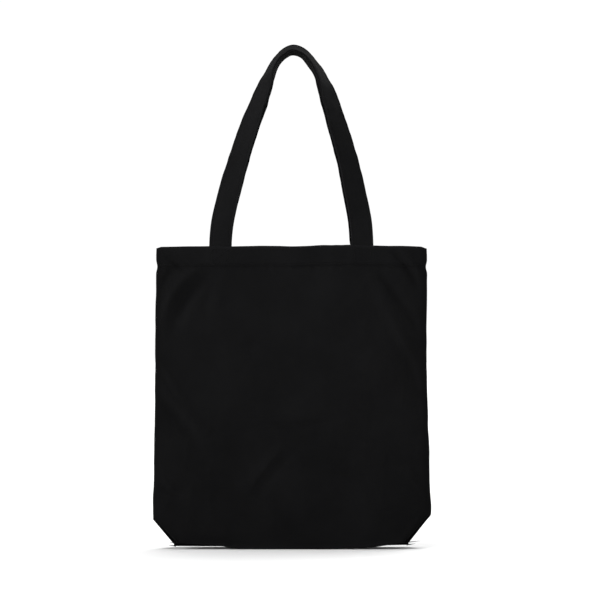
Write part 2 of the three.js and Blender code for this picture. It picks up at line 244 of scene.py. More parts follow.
def wall(side, x, h, depth=0.0):
    """Points of a wall at width x and height h; depth is how far under its outer face."""
    x, h = np.broadcast_arrays(np.asarray(x, float), np.asarray(h, float))
    reach = np.where(x < 0, edge_reach(h, -1), edge_reach(h, 1))
    middle = BASE_DEPTH + (RIM_DEPTH - BASE_DEPTH) * smooth(h / 390)
    foot = np.clip(1 - h / CORNER, 0, 1)
    edge = EDGE_DEPTH + (middle - EDGE_DEPTH) * foot
    q = np.clip((np.abs(x) - FLAT_HALF) / (reach - FLAT_HALF), 0, 1)
    bulge = (1 - q**2) ** 0.7
    loose = smooth((reach - np.abs(x)) / 19) * smooth(h / 16 + 0.1)
    loose = loose * (1 - 0.85 * sewn_zone(x, h))
    y = edge + (middle - edge) * bulge + loose * wrinkles(side, x, h)
    # the hem: doubled cloth, the groove of its stitches, small puckers under it, and strap ends
    y = y + 1.1 * smooth((h - HEM_EDGE + 1.2) / 2.4)
    y = y - 0.5 * np.exp(-(((h - HEM_LINE) / 1.3) ** 2))
    puckered = np.exp(-(((h - HEM_LINE + 4) / 6) ** 2))
    y = y + loose * 0.45 * ripple(x / 5.2 + 3, h / 30, 95 + side) * puckered
    y = y + 0.5 * tail_bump(x, h)
    y = np.maximum(y, edge)
    # the bottom fold and the rim aren't quite straight
    lifts = [5, 7.5, 5.5, 0.3, -0.8, 1.2, 8, 8] if side < 0 else [0.3, 0.3, 0, -0.3, -0.8, 0.5, 2.0, 4]
    sag = eased(x, [-194, -161, -118, -70, 40, 100, 165, 194], lifts)
    sag = sag * (1 - smooth(h / 150))
    rim = eased(x, [-190, -181, -120, 0, 72, 150, 181, 190], [-1.2, 1.0, 1.6, 1.9, 3.5, 2.3, 1.4, -1.2])
    rim = (rim + 0.5 * ripple(x / 21, x * 0 + 8, 60 + side)) * smooth((h - 300) / 120)
    # the front's corners are tucked a little further in than the back's
    right_inset, left_inset = (7.0, 2.5) if side < 0 else (1.3, -2.6)
    tucked = right_inset * smooth((x - 140) / 24) - left_inset * smooth((-x - 140) / 24)
    tucked = tucked * np.clip(1 - h / CORNER_TOP[1], 0, 1)
    point = np.stack([x - tucked, side * y + seam_sway(h), BASE_Z + h + sag + rim], axis=-1)
    if np.all(depth == 0):
        return point
    return point + inward(side, x, h) * np.asarray(depth)[..., None]


def inward(side, x, h):
    """The direction into the bag, square to a wall in plan."""
    step = 0.5
    a, b = wall(side, x - step, h), wall(side, x + step, h)
    run = b - a
    normal = np.stack([run[..., 1], -run[..., 0], run[..., 0] * 0], axis=-1)
    normal /= np.linalg.norm(normal, axis=-1, keepdims=True)
    return normal * np.where(normal[..., 1:2] * side > 0, -1.0, 1.0)


# Meshes ---------------------------------------------------------------------------------------


def make(name, points, faces, uvs=None, wear=None, shade=None):
    """A smooth mesh from millimetres. wear, from 0 to 1, is how far a point is rubbed paler. shade is
    painted shade: the material multiplies its colour by it."""
    mesh = bpy.data.meshes.new(name)
    mesh.from_pydata((np.asarray(points) * MM).tolist(), [], [list(map(int, f)) for f in faces])
    mesh.polygons.foreach_set("use_smooth", [True] * len(mesh.polygons))
    if uvs is not None:
        layer = mesh.uv_layers.new(name="cloth")
        corners = np.zeros(len(mesh.loops), int)
        mesh.loops.foreach_get("vertex_index", corners)
        layer.data.foreach_set("uv", (np.asarray(uvs)[corners] * MM).astype(np.float32).ravel())
    if wear is not None:
        mesh.attributes.new("wear", "FLOAT", "POINT").data.foreach_set(
            "value", np.asarray(wear, np.float32).ravel()
        )
        # painted shade: multiplies the colour to darken recesses, creases and edges where shadow falls
        shaded = np.ones(len(points)) if shade is None else np.asarray(shade)
        mesh.attributes.new("painted_shade", "FLOAT", "POINT").data.foreach_set("value", shaded.astype(np.float32))
    mesh.update()
    obj = bpy.data.objects.new(name, mesh)
    bpy.context.scene.collection.objects.link(obj)
    return obj


def grid_faces(rows, columns, loop=False):
    """Faces of a grid of points; with loop, the last column joins the first."""
    across = columns if loop else columns - 1
    i, j = np.meshgrid(np.arange(rows - 1), np.arange(across), indexing="ij")
    a = i * columns + j
    b = i * columns + (j + 1) % columns
    return np.stack([a, b, b + columns, a + columns], axis=-1).reshape(-1, 4).tolist()


def tube_faces(rings, count):
    """Faces of a closed tube of so many rings, each with count points, with its two end caps."""
    faces = grid_faces(rings, count, loop=True)
    faces.append(list(range(count))[::-1])
    faces.append([count * (rings - 1) + k for k in range(count)])
    return faces


def run_along(line):
    """The length along a line at each of its points."""
    return np.concatenate([[0], np.cumsum(np.linalg.norm(np.diff(line, axis=0), axis=-1))])


def thicken(obj):
    """Gives a sheet the cloth's thickness, inwards from its outer face."""
    solid = obj.modifiers.new("thickness", "SOLIDIFY")
    solid.thickness = CLOTH * MM
    solid.offset = -1.0
    solid.use_even_offset = True
    solid.use_quality_normals = True


def wall_weights(points):
    """A weight for each point: 1 where the wall hangs flat, falling to 0 along the side seams."""
    return smooth((SEAM_REACH - np.abs(points[:, 0])) / (SEAM_REACH - FLAT_HALF + 2))


def open_with_wall(obj):
    """Bakes obj's placement into its mesh."""
    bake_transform(obj)


def wall_columns():
    """Widths as shares of the reach: closer together at the side seams."""
    t = np.linspace(-1, 1, COLUMNS + 1)
    return np.sign(t) * (np.abs(t) * 1.12 - 0.12 * np.abs(t) ** 3.4)


def facing_depth(x, h):
    """How deep the turned cloth lies under the outer face: over the strap ends it stands off."""
    ends = smooth((np.abs(x) - 150) / 30)
    return 2.3 - 0.5 * ends + 2.5 * tail_bump(x, h)


# How a wall turns in along the side seam, as (outwards, towards y = 0), and the same where another
# piece closes the edge.
CURL = np.array([(0.25, 0.5), (0.1, 1.05), (-0.5, 1.46), (-1.4, 1.57), (-2.4, 1.58)])
TUCKED = np.array([(-0.04, 0.04), (-0.08, 0.08), (-0.12, 0.12), (-0.16, 0.16), (-0.2, 0.2)])


def wall_sheet(side):
    """One wall: from the bottom seam down the folded base, round the bottom fold, up the wall,
    over the rim and down inside as the hem."""
    t = wall_columns()
    still = np.zeros_like(t)
    rows, cloth_v, wears, weights, shades = [], [], [], [], []

    def width_at(h, share=1.0):
        level = h * np.ones_like(t)
        return t * np.where(t < 0, edge_reach(level, -1), edge_reach(level, 1)) * share

    def add(points, v, wear, weight, tuck=0.0, shade=1.0, middle=None):
        """Adds one row of points, with its ends turned in: tuck is 0 for TUCKED, 1 for CURL and
        more for a wider seam allowance. middle is where the two walls meet at the ends."""
        curl_in = CURL * min(1.0, tuck) + TUCKED * (1 - min(1.0, tuck))
        curl_in = curl_in - np.array([[0, 0]] * 4 + [[max(tuck - 1, 0), 0]])
        left, right = [], []
        for dx, dy in curl_in:
            left_dy, right_dy = dy, dy
            if middle is not None and tuck >= 1:
                gaps = side * (points[[0, -1], 1] - middle) - SEAM_GAP
                left_dy, right_dy = dy * gaps / CURL[-1, 1]
            left.append(points[0] + np.array([-dx, -side * left_dy, 0]))
            right.append(points[-1] + np.array([dx, -side * right_dy, 0]))
        rows.append(np.concatenate([left[::-1], points, right]))
        ends = np.ones(len(curl_in))
        # painted shade along the side edges, a narrow band and a wide one
        inset = (1 - np.abs(t)) * HALF_WIDTH
        narrow = 0.28 * np.exp(-((inset / 7) ** 2))
        wide = np.where(t < 0, 0.14, 0.07) * np.exp(-((inset / 30) ** 2))
        painted = shade * (1 - (narrow + wide))
        shades.append(np.concatenate([painted[0] * ends, painted, painted[-1] * ends]))
        flat_v = v * np.ones_like(t)
        cloth_v.append(np.concatenate([flat_v[0] * ends, flat_v, flat_v[-1] * ends]))
        wears.append(np.concatenate([0 * ends, wear * np.ones_like(t), 0 * ends]))
        weights.append(np.concatenate([weight[0] * ends, weight, weight[-1] * ends]))

    foot = wall(side, width_at(0.0), 0.0)
    curl = 1.5  # radius of the bottom fold
    # the folded base, darkened with painted shade
    inner = foot + np.array([0, -side * 2 * curl, curl])
    seam = base_seam(foot[:, 0])
    for v in np.linspace(1, 0, 14)[:-1]:
        sagged = inner * (1 - v) + seam * v
        sagged[:, 2] -= 1.5 * math.sin(math.pi * v)
        sagged[:, 1] += side * 0.8 * math.sin(math.pi * v)
        add(sagged, -v * CORNER, 0.0, still, shade=0.35)
    # the bottom fold, with painted shade darkest where it turns into the folded base
    for angle in np.linspace(math.pi, 0.3, 6):
        lift = np.array([0, -side * curl * (1 - math.cos(angle)), curl - curl * math.sin(angle)])
        add(foot + lift, -angle, 0.6 * math.sin(angle), still, shade=0.5 + 0.5 * math.cos(angle / 2))
    # the wall
    top = HEIGHT - facing_depth(width_at(HEIGHT), HEIGHT * np.ones_like(t)) / 2
    for k in range(1, WALL_ROWS + 1):
        share = k / WALL_ROWS
        spread = np.interp(share, [0, 0.82, 0.94, 1], [0, 0.925, 0.953, 1])
        h = curl + (top - curl) * spread
        reach = np.where(t < 0, edge_reach(h, -1), edge_reach(h, 1))
        x = t * reach
        near_fold = np.exp(-((h / 3.0) ** 2)) + 0.7 * np.exp(-(((HEIGHT - h) / 3.5) ** 2))
        near_seam = 0.12 * np.exp(-(((reach - np.abs(x)) / 2.2) ** 2))
        # the seam allowance is full between the corner and the hem
        level = np.mean(h)
        allowance = 9 * smooth((level - 46) / 8) * smooth((HEM_EDGE - 4 - level) / 6)
        tuck = float(smooth((level - 40) / 8) + allowance)
        # painted shade: a dark line in the crease under the hem
        under_hem = np.exp(-(((h - HEM_EDGE - 0.6) / 1.3) ** 2))
        crease = 1 - 0.3 * under_hem * (0.6 + 0.4 * ripple(x / 30, x * 0, 97))
        row = wall(side, x, h)
        wear = np.clip(near_fold + near_seam, 0, 1)
        add(row, h, wear, wall_weights(row), tuck, shade=crease, middle=seam_sway(h)[[0, -1]])
    # the rim
    x = width_at(HEIGHT)
    deep = facing_depth(x, HEIGHT * np.ones_like(t))
    rim_foot, rim_in = wall(side, x, top), inward(side, x, top)
    rim_weight = wall_weights(rim_foot)
    rim_middle = seam_sway(top)[[0, -1]]
    for angle in np.linspace(0, math.pi, 8)[1:]:
        out = rim_foot + rim_in * (deep / 2 * (1 - math.cos(angle)))[:, None]
        out[:, 2] += deep / 2 * math.sin(angle)
        add(out, HEIGHT + angle * 1.5, 0.7 * math.sin(angle), rim_weight, 1.0, middle=rim_middle)
    # the hem inside, darkened with painted shade
    for v in np.linspace(0, 1, 12)[1:]:
        h = top * (1 - v) + (HEM_EDGE + 0.4 * ripple(t * 9, t * 0, 77)) * v
        x = width_at(HEIGHT, 0.99)
        out = wall(side, x, h, facing_depth(x, h) - (0.9 if v == 1 else 0))
        add(out, HEIGHT + 5 + v * 26, 0.5 * float(v > 0.9), wall_weights(out), shade=0.8)
    points = np.concatenate(rows)
    past = 2.0 * np.arange(1, len(CURL) + 1)
    flat_x = np.concatenate([-HALF_WIDTH - past[::-1], t * HALF_WIDTH, HALF_WIDTH + past])
    uvs = np.stack([np.tile(flat_x, len(rows)), np.concatenate(cloth_v)], axis=-1)
    faces = grid_faces(len(rows), len(flat_x))
    name = f"{side_name(side)}_wall_cloth"
    obj = make(name, points, faces, uvs, np.concatenate(wears), np.concatenate(shades))
    if side > 0:
        obj.data.flip_normals()
    thicken(obj)
    open_with_wall(obj)
    return obj


def base_seam(x):
    """The line where the two halves of the base are sewn together, up inside the bag."""
    x = np.asarray(x, float)
    sag = 1.2 * np.cos(x / 52) + 0.6 * ripple(x / 24, x * 0, 90)
    lift = eased(x, [-164, 0, 164], [1, 0, 5])
    return np.stack([x, x * 0 + seam_sway(x * 0), BASE_Z + FOLD_TOP + sag + lift], axis=-1)


# Materials ------------------------------------------------------------------------------------


def shader(name, dark, light, worn, weave, roughness, specular, sheen, bump):
    """Cotton canvas: a plain weave with uneven yarns, worn paler along its folded edges. weave is
    the distance between yarns, and worn the colour of rubbed cloth."""
    material = bpy.data.materials.new(name)
    material.use_nodes = True
    nodes, links = material.node_tree.nodes, material.node_tree.links
    nodes.clear()

    def node(kind, **inputs):
        made = nodes.new(kind)
        for key, value in inputs.items():
            if key in made.inputs:
                target = made.inputs[key]
            else:
                target = next(s for s in made.inputs if s.name.replace(" ", "_") == key)
            if isinstance(value, bpy.types.NodeSocket):
                links.new(value, target)
            else:
                target.default_value = value
        return made

    def maths(operation, a, b=None):
        made = nodes.new("ShaderNodeMath")
        made.operation = operation
        for socket, value in zip(made.inputs, (a, b)):
            if isinstance(value, bpy.types.NodeSocket):
                links.new(value, socket)
            elif value is not None:
                socket.default_value = value
        return made.outputs[0]

    # the weave: u and v count the yarns, and which of the two lies on top alternates
    uv = nodes.new("ShaderNodeUVMap")
    uv.uv_map = "cloth"
    split = node("ShaderNodeSeparateXYZ", Vector=uv.outputs[0])
    per = 1.0 / (weave * MM)
    slub = node("ShaderNodeTexNoise", Vector=uv.outputs[0], Scale=160.0, Detail=2.0)
    shake = maths("MULTIPLY", maths("SUBTRACT", slub.outputs[0], 0.5), 0.5)
    u = maths("ADD", maths("MULTIPLY", split.outputs[0], per), shake)
    v = maths("ADD", maths("MULTIPLY", split.outputs[1], per), shake)
    warp = maths("ABSOLUTE", maths("COSINE", maths("MULTIPLY", u, math.pi)))
    weft = maths("ABSOLUTE", maths("COSINE", maths("MULTIPLY", v, math.pi)))
    warp_count = maths("FLOOR", maths("ADD", u, 0.5))
    weft_count = maths("FLOOR", maths("ADD", v, 0.5))
    odd = maths("FLOORED_MODULO", maths("ADD", warp_count, weft_count), 2.0)
    over = maths("MULTIPLY", warp, maths("ADD", maths("MULTIPLY", odd, 0.5), 0.5))
    under = maths("MULTIPLY", weft, maths("SUBTRACT", 1.0, maths("MULTIPLY", odd, 0.5)))
    cloth = maths("MAXIMUM", over, under)

    # the tone: patches and the weave, with painted shade darker towards the bottom of the walls
    position = nodes.new("ShaderNodeTexCoord").outputs["Object"]
    patches = node("ShaderNodeTexNoise", Vector=position, Scale=14.0, Detail=5.0, Roughness=0.6)
    lint = node("ShaderNodeTexNoise", Vector=position, Scale=900.0, Detail=3.0)
    tone = maths("ADD", maths("MULTIPLY", patches.outputs[0], 0.55), maths("MULTIPLY", cloth, 0.45))
    high = node("ShaderNodeSeparateXYZ", Vector=position).outputs[2]
    painted_bottom_shade = node(
        "ShaderNodeMapRange", Value=high, From_Min=-0.7, From_Max=-0.3, To_Min=-0.11, To_Max=0.08
    )
    tone = maths("ADD", tone, painted_bottom_shade.outputs[0])
    ramp = nodes.new("ShaderNodeValToRGB")
    ramp.color_ramp.elements[0].position = 0.3
    ramp.color_ramp.elements[0].color = (*dark, 1)
    ramp.color_ramp.elements[1].position = 0.85
    ramp.color_ramp.elements[1].color = (*light, 1)
    links.new(tone, ramp.inputs[0])
    # rubbed paler by the mesh's wear, and darkened by the shade painted on it
    wear = nodes.new("ShaderNodeAttribute")
    wear.attribute_name = "wear"
    rubbed = maths("MULTIPLY", wear.outputs["Fac"], maths("MULTIPLY", lint.outputs[0], 1.1))
    mix = nodes.new("ShaderNodeMix")
    mix.data_type = "RGBA"
    links.new(rubbed, mix.inputs[0])
    links.new(ramp.outputs[0], mix.inputs[6])
    mix.inputs[7].default_value = (*worn, 1)
    # painted shade: the mesh's shade attribute darkens the base colour
    painted_shade = nodes.new("ShaderNodeAttribute")
    painted_shade.attribute_name = "painted_shade"
    shaded = nodes.new("ShaderNodeVectorMath")
    shaded.operation = "SCALE"
    links.new(mix.outputs[2], shaded.inputs[0])
    links.new(painted_shade.outputs["Fac"], shaded.inputs[3])
    rough = node("ShaderNodeMapRange", Value=tone, To_Min=roughness + 0.06, To_Max=roughness - 0.05)
    height = maths("ADD", cloth, maths("MULTIPLY", lint.outputs[0], 0.35))
    lumps = node("ShaderNodeBump", Height=height, Strength=bump, Distance=0.12 * MM)
    principled = node(
        "ShaderNodeBsdfPrincipled",
        Roughness=rough.outputs[0],
        Normal=lumps.outputs[0],
    )
    links.new(shaded.outputs[0], principled.inputs["Base Color"])
    principled.inputs["Specular IOR Level"].default_value = specular
    principled.inputs["Sheen Weight"].default_value = sheen
    principled.inputs["Sheen Roughness"].default_value = 0.6
    output = nodes.new("ShaderNodeOutputMaterial")
    links.new(principled.outputs[0], output.inputs[0])
    return material


canvas = shader(
    "black_canvas",
    dark=(0.0028, 0.0028, 0.003),
    light=(0.0062, 0.0062, 0.0066),
    worn=(0.011, 0.011, 0.012),
    weave=0.95,
    roughness=0.92,
    specular=0.045,
    sheen=0.004,
    bump=0.7,
)
strap_canvas = shader(
    "strap_canvas",
    dark=(0.003, 0.003, 0.0032),
    light=(0.006, 0.006, 0.0064),
    worn=(0.011, 0.011, 0.012),
    weave=0.95,
    roughness=0.9,
    specular=0.05,
    sheen=0.006,
    bump=0.7,
)
thread_black = shader(
    "sewing_thread",
    dark=(0.0024, 0.0024, 0.0026),
    light=(0.005, 0.005, 0.0054),
    worn=(0.007, 0.007, 0.0076),
    weave=0.4,
    roughness=0.75,
    specular=0.09,
    sheen=0.004,
    bump=0.3,
)


# Handles --------------------------------------------------------------------------------------

# The middle line of the straps as (x, height above the rim), from left to right.
LOOP = [
    (-99.2, 0), (-99.2, 10), (-96.7, 36), (-92.0, 58), (-86.4, 80.5), (-80.1, 103), (-73.4, 125),
    (-66.3, 148), (-58.6, 170), (-50.2, 192.5), (-41.4, 215), (-33, 237), (-24.7, 257.2), (-12.9, 273),
    (2.4, 279.8),
    (18.6, 273.2), (31.7, 258.8), (42.1, 241.3), (51, 218.4), (58.6, 194), (65.2, 171), (72.4, 148),
    (79.2, 125), (84.2, 103), (88.7, 80.5), (93.6, 58), (97.4, 36), (99.4, 10), (99.4, 0),
]
# How far the straps are turned edge-on, in degrees, by the share of the way from the rim to the top.
TURN_AT = [0, 0.08, 0.22, 0.42, 0.6, 0.75, 0.84, 0.92, 1]
TURN = [0, 3, 14, 29, 39, 52, 69, 75, 69]
STRAP_STEPS = 300
TAIL_STEPS = 10


def evened(values, reach=9):
    """Each value averaged with its neighbours; the two ends stay."""
    kernel = np.hanning(2 * reach + 3)[1:-1]
    kernel /= kernel.sum()
    before = 2 * values[0] - values[reach:0:-1]
    after = 2 * values[-1] - values[-2 : -reach - 2 : -1]
    return np.convolve(np.concatenate([before, values, after]), kernel, mode="valid")


def unit(v):
    return v / np.linalg.norm(v, axis=-1, keepdims=True)


def strap_frames(side):
    """Places, directions across the strap and directions out of its outer face, with the length
    along it. The two ends run down inside the hem."""
    line = np.array(LOOP, float)
    steps = np.concatenate([[0], np.cumsum(np.hypot(*np.diff(line, axis=0).T))])
    s = np.linspace(0, steps[-1], STRAP_STEPS + 1)
    x, z = evened(np.interp(s, steps, line[:, 0])), evened(np.interp(s, steps, line[:, 1]))
    rise = 1 - np.abs(2 * s / s[-1] - 1)
    turn = np.interp(rise, TURN_AT, TURN)
    shake = 2.6 * ripple(s / 46, s * 0, 71 + side) + 2.4 * ripple(s / 17, s * 0, 75 + side)
    turn = np.radians(evened(turn, 14) + shake * smooth(rise / 0.2))
    if side > 0:
        # the back strap hangs a little inside the front one
        x = x - 2.2 * smooth(x / 30) * smooth(rise / 0.04) + 1.0 * smooth(-x / 30) * smooth(rise / 0.3)
    ground = np.where(x < 0, wall_y(side, -STRAP_X, HEIGHT), wall_y(side, STRAP_X, HEIGHT))
    apart = STRAP_WIDTH / 2 * np.sin(turn) + 1.5
    y = ground + (apart - ground) * smooth(rise / 0.34)
    y = evened(np.maximum(y, apart), 9)
    at = np.stack([x, side * y, RIM_Z + z], axis=-1)
    tail_h = np.linspace(HEIGHT - TAIL, HEIGHT, TAIL_STEPS + 1)[:-1]
    ends = []
    for end_x, flip in ((x[0], 1), (x[-1], -1)):
        tail = np.stack([end_x + 0 * tail_h, side * wall_y(side, end_x, tail_h), BASE_Z + tail_h], axis=-1)
        ends.append(tail[::flip])
    turn = np.concatenate([0 * tail_h, turn, 0 * tail_h])
    at = np.concatenate([ends[0], at, ends[1]])
    at[:, 1] = side * evened(np.abs(at[:, 1]), 3)
    ahead = unit(np.gradient(at, axis=0))
    inner = unit(np.stack([ahead[:, 2], 0 * ahead[:, 0], -ahead[:, 0]], axis=-1))
    across = inner * np.cos(turn)[:, None] + np.array([0, side, 0]) * np.sin(turn)[:, None]
    across = unit(across - ahead * (across * ahead).sum(-1, keepdims=True))
    out = np.cross(ahead, across)
    out = out * np.where(out[:, 1:2] * side < 0, -1, 1)
    return at, across, out, run_along(at)


def wall_y(side, x, h):
    """How far from y = 0 the middle of a strap end lies inside the hem."""
    return np.abs(wall(side, x, h)[..., 1]) - CLOTH - 0.35 - STRAP_THICK / 2


def strap_outline():
    """The strap's section, as (across, out), with a dent along each row of stitches."""
    half = STRAP_WIDTH / 2
    c = half * np.sin(np.linspace(-math.pi / 2, math.pi / 2, 41)[1:-1])
    round_off = np.sqrt(np.clip(1 - (np.clip(np.abs(c) - half + 1.1, 0, None) / 1.1) ** 2, 0.02, 1))
    dent = 0.34 * np.exp(-(((np.abs(c) - EDGE_ROW) / 0.8) ** 2))
    swell = 0.12 * np.exp(-((c / 8) ** 2))
    t = STRAP_THICK / 2 * round_off - dent + swell
    top = np.stack([c, t], axis=-1)
    bottom = np.stack([c[::-1], -t[::-1]], axis=-1)
    return np.concatenate([[[-half, 0]], top, [[half, 0]], bottom])


def strap_warp(side, length, c):
    """How far the strap's surface waves out of its plain shape at c across it."""
    run = smooth((length / length.max() - 0.06) / 0.05) * smooth((0.94 - length / length.max()) / 0.05)
    wave = 0.9 * ripple(length / 15, c / 19 + 9, 86 + side) + 0.35 * ripple(length / 6, c / 9 + 9, 88 + side)
    return wave * run


def strap(side):
    """One whole strap with its two sewn-in ends."""
    at, across, out, length = strap_frames(side)
    outline = strap_outline()
    pinch = 1 + 0.01 * ripple(length / 30, length * 0, 81 + side)
    rings = (
        at[:, None]
        + across[:, None] * (outline[:, 0] * pinch[:, None])[..., None]
        + out[:, None] * (outline[:, 1] + strap_warp(side, length[:, None], outline[:, 0]))[..., None]
    )
    count = len(outline)
    uvs = np.stack([np.tile(run_along(outline), len(at)), np.repeat(length, count)], axis=-1)
    wear = np.tile(smooth((np.abs(outline[:, 0]) - 13.2) / 1.6) * 0.5, len(at))
    # painted shade: the inner face and the top of the loop are darker
    shade = np.tile(0.7 + 0.3 * np.clip(outline[:, 1] / 0.8, -1, 1), len(at))
    top = 1 - 0.5 * np.exp(-(((length / length[-1] - 0.5) / 0.08) ** 2))
    shade = shade * np.repeat(top, count)
    faces = tube_faces(len(at), count)
    obj = make(f"{side_name(side)}_handle_strap", rings.reshape(-1, 3), faces, uvs, wear, shade)
    return outward(obj)


def outward(obj):
    """Faces of a closed mesh turned to look out."""
    bm = bmesh.new()
    bm.from_mesh(obj.data)
    bmesh.ops.recalc_face_normals(bm, faces=bm.faces)
    bm.to_mesh(obj.data)
    bm.free()
    return obj


def bend_at_rim(obj):
    """Bakes obj's placement into its mesh."""
    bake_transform(obj)


# Stitches -------------------------------------------------------------------------------------

STITCH_RING = 6  # points round the thread
STITCH_SHOWN = 0.78  # the share of the pitch that a stitch covers
STITCH_SLANT = 0.16
# Along one stitch: places from 0 to 1, and there the thread's thickness and height.
STITCH_SPAN = np.array([0.0, 0.12, 0.34, 0.66, 0.88, 1.0])
STITCH_RADIUS = np.array([0.35, 0.85, 1.0, 1.0, 0.85, 0.35])
STITCH_LIFT = np.array([-0.28, -0.05, 0.1, 0.1, -0.05, -0.28])


def stitch_row(points, normals, seed):
    """Vertices and faces of one row of stitches along a line; each is a short bent thread."""
    length = run_along(points)
    count = max(1, int(length[-1] / STITCH))
    rng = np.random.default_rng(seed)
    starts = (np.arange(count) + 0.12) * length[-1] / count
    spans = starts[:, None] + STITCH_SPAN * STITCH_SHOWN * length[-1] / count
    place = np.stack([np.interp(spans, length, points[:, k]) for k in range(3)], axis=-1)
    normal = unit(np.stack([np.interp(spans, length, normals[:, k]) for k in range(3)], axis=-1))
    ahead = unit(np.gradient(place, axis=1))
    beside = unit(np.cross(normal, ahead))
    turned = (STITCH_SPAN - 0.5) * (STITCH_SLANT + 0.05 * rng.uniform(-1, 1, (count, 1)))
    place = place + beside * turned[..., None] * 2 + normal * (STITCH_LIFT + THREAD * 0.5)[:, None]
    angles = np.linspace(0, 2 * math.pi, STITCH_RING, endpoint=False)
    ring = beside[:, :, None] * np.cos(angles)[:, None] + normal[:, :, None] * np.sin(angles)[:, None]
    rings = place[:, :, None] + ring * (THREAD * STITCH_RADIUS)[:, None, None]
    size = len(STITCH_SPAN) * STITCH_RING
    one = tube_faces(len(STITCH_SPAN), STITCH_RING)
    faces = []
    for k in range(count):
        faces += [[v + k * size for v in f] for f in one]
    return rings.reshape(-1, 3), faces


def stitches(name, rows):
    """One mesh of several rows of stitches, each given as (points, normals)."""
    points, faces, total = [], [], 0
    for k, (line, normals) in enumerate(rows):
        p, f = stitch_row(line, normals, seed=k + len(name))
        faces += [[v + total for v in face] for face in f]
        points.append(p)
        total += len(p)
    points = np.concatenate(points)
    uvs = points[:, [0, 2]]
    obj = make(name, points, faces, uvs, 0.3 * np.ones(len(points)))
    obj.data.materials.append(thread_black)
    return outward(obj)


def strap_stitches(side):
    """The rows along both edges of a strap, on both of its faces."""
    at, across, out, length = strap_frames(side)
    keep = slice(8, len(at) - 8)
    rows = []
    for edge in (-EDGE_ROW, EDGE_ROW):
        for face in (1, -1):
            lift = face * (STRAP_THICK / 2 - 0.3) + strap_warp(side, length, edge)
            line = at + across * edge + out * lift[:, None]
            rows.append((line[keep], (out * face)[keep]))
    return stitches(f"{side_name(side)}_handle_stitches", rows)


def hem_stitches(side):
    """The row that holds the hem, seen on the outside and inside."""
    rows = []
    x = np.linspace(-184, 184, 240)
    h = HEM_LINE + 0.35 * ripple(x / 40, x * 0, 66 + side)
    way = inward(side, x, h)
    rows.append((wall(side, x, h, -0.02), -way))
    x = np.linspace(-180, 180, 240)
    rows.append((wall(side, x, h, facing_depth(x, h) + 0.05), way))
    return stitches(f"{side_name(side)}_hem_stitches", rows)


def box_stitches(side, x0, name):
    """A box with a cross in it, through the hem and the strap end."""
    w, low, high = 11.0, HEM_LINE + 2.5, HEIGHT - 4.0
    low_left, low_right, high_right, high_left = (
        (x0 - w, low), (x0 + w, low), (x0 + w, high), (x0 - w, high)
    )
    path = [low_left, low_right, high_right, high_left, low_left, high_right]
    lines = list(zip(path[:-1], path[1:])) + [(high_left, low_right)]
    rows = []
    for (xa, ha), (xb, hb) in lines:
        x, h = np.linspace(xa, xb, 30), np.linspace(ha, hb, 30)
        rows.append((wall(side, x, h, 0.0), -inward(side, x, h)))
    return stitches(name, rows)


for side, name in ((-1, "front"), (1, "back")):
    sheet = wall_sheet(side)
    sheet.data.materials.append(canvas)
    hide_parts(f"{name}_panel", f"{name}_hem_facing", f"{name}_base_fold")

    handle = strap(side)
    handle.data.materials.append(strap_canvas)
    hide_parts(f"{name}_handle", f"{name}_handle_left_tail", f"{name}_handle_right_tail")
    bend_at_rim(handle)

    rows = strap_stitches(side)
    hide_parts(f"{name}_handle_outer_thread", f"{name}_handle_inner_thread")
    bend_at_rim(rows)

    rows = hem_stitches(side)
    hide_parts(f"{name}_hem_thread")
    open_with_wall(rows)

    for end, x0 in (("left", -STRAP_X), ("right", STRAP_X)):
        rows = box_stitches(side, x0, f"{name}_{end}_box_stitches")
        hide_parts(f"{name}_{end}_box_stitch")
        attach(rows, f"{name}_wall")


# Seams and folds inside -----------------------------------------------------------------------


def corner_sheet(end):
    """The two folded triangles that close a bottom corner, sewn together along their middle."""
    t = np.linspace(0, 1, 22)[:, None]
    v = np.linspace(0, 1, 14)
    top = CORNER_TOP[end]
    rows = []
    for side in (-1, 1):
        h = (top * (1 - t))[:, 0]
        diagonal = wall(side, end * edge_reach(h, end), h)
        tip = diagonal[0] * [1, 0, 1] + [-end * 0.6, seam_sway(np.array([top]))[0], -0.3]
        seam = tip * (1 - t) + base_seam(np.array([diagonal[-1, 0]])) * t
        patch = []
        for share in v:
            line = diagonal * (1 - share) + seam * share
            lip = math.sin(math.pi * min(share * 4, 1) / 2)
            line = line + np.array([-end * 0.9, 0, 0.9]) * lip * (1 - share)
            line[:, 2] -= 1.5 * math.sin(math.pi * share) * t[:, 0] ** 2
            line[:, 1] += side * 0.8 * math.sin(math.pi * share) * t[:, 0] ** 2
            patch.append(line)
        rows += patch if side < 0 else patch[::-1][1:]
    points = np.concatenate(rows)
    cloth_u, cloth_v = np.tile(t[:, 0] * 54, len(rows)), np.repeat(np.arange(len(rows)) * 1.4, len(t))
    uvs = np.stack([cloth_u, cloth_v], axis=-1)
    wear = np.repeat([0.8 if k in (0, len(rows) - 1) else 0.1 for k in range(len(rows))], len(t))
    # painted shade: the corner's recess is darkened, less at its two outer rows
    shade = 0.35 + 0.4 * wear
    name = "left" if end < 0 else "right"
    obj = make(f"{name}_corner_cloth", points, grid_faces(len(rows), len(t)), uvs, wear, shade)
    normal = np.array([p.normal[:] for p in obj.data.polygons]).mean(0)
    if normal[2] > 0:
        obj.data.flip_normals()
    thicken(obj)
    obj.data.materials.append(canvas)
    return obj


BAND_THICK = 1.6
# The corners of a band's section, as (share of its thickness, share of its height), and for each
# of them how far along the cloth it is and how worn.
BAND_SECTION = [(-0.5, 0), (0.5, 0), (0.5, 0.5), (0.5, 1), (-0.5, 1), (-0.5, 0.5)]
BAND_LENGTHS = [0, 1.6, 6, 11, 13, 18]
BAND_WEAR = [0.1, 0.1, 0.2, 0.8, 0.8, 0.2]


